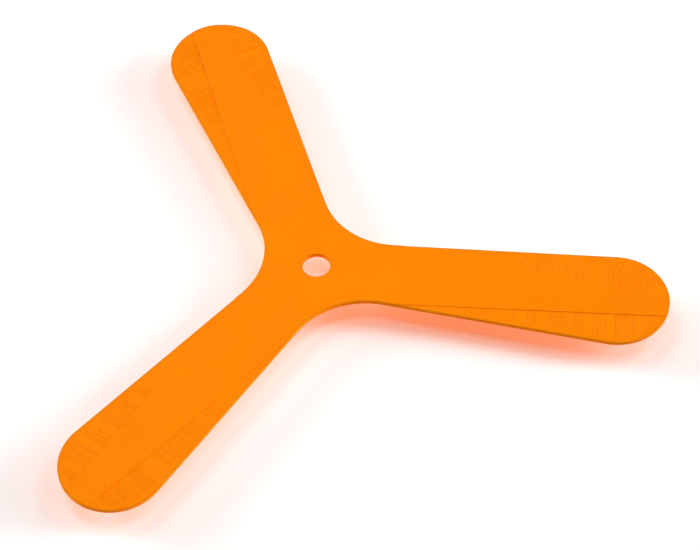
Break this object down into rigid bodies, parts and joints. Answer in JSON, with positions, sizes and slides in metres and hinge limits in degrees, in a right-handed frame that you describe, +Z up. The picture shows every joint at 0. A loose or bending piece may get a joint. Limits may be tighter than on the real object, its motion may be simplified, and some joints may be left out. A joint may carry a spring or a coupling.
{
  "type": "boomerang",
  "caption": "Flat throwing boomerang of one thin plastic plate: three round-tipped blades about a hub with a central hole, each with a raised plateau that narrows outward.",
  "frame": {"origin": "centre of the hub's hole, on the flat underside; the centre of mass is on the same axis, within 1 mm above it", "axes": "+Z up out of the upper face, the one with the plateaus, along the axis it spins about; +X along blade_1; blade_2 and blade_3 follow counter-clockwise seen from above, 120 degrees apart, so +Y is the widest way across"},
  "size_m": [0.1969, 0.2216, 0.0016],
  "materials": {
    "plastic": "satin, with a fine printed step and extrusion lines"
  },
  "bodies": {
    "root": {"hub": "plastic", "blade_1": "plastic", "blade_2": "plastic", "blade_3": "plastic"}
  },
  "joints": []
}
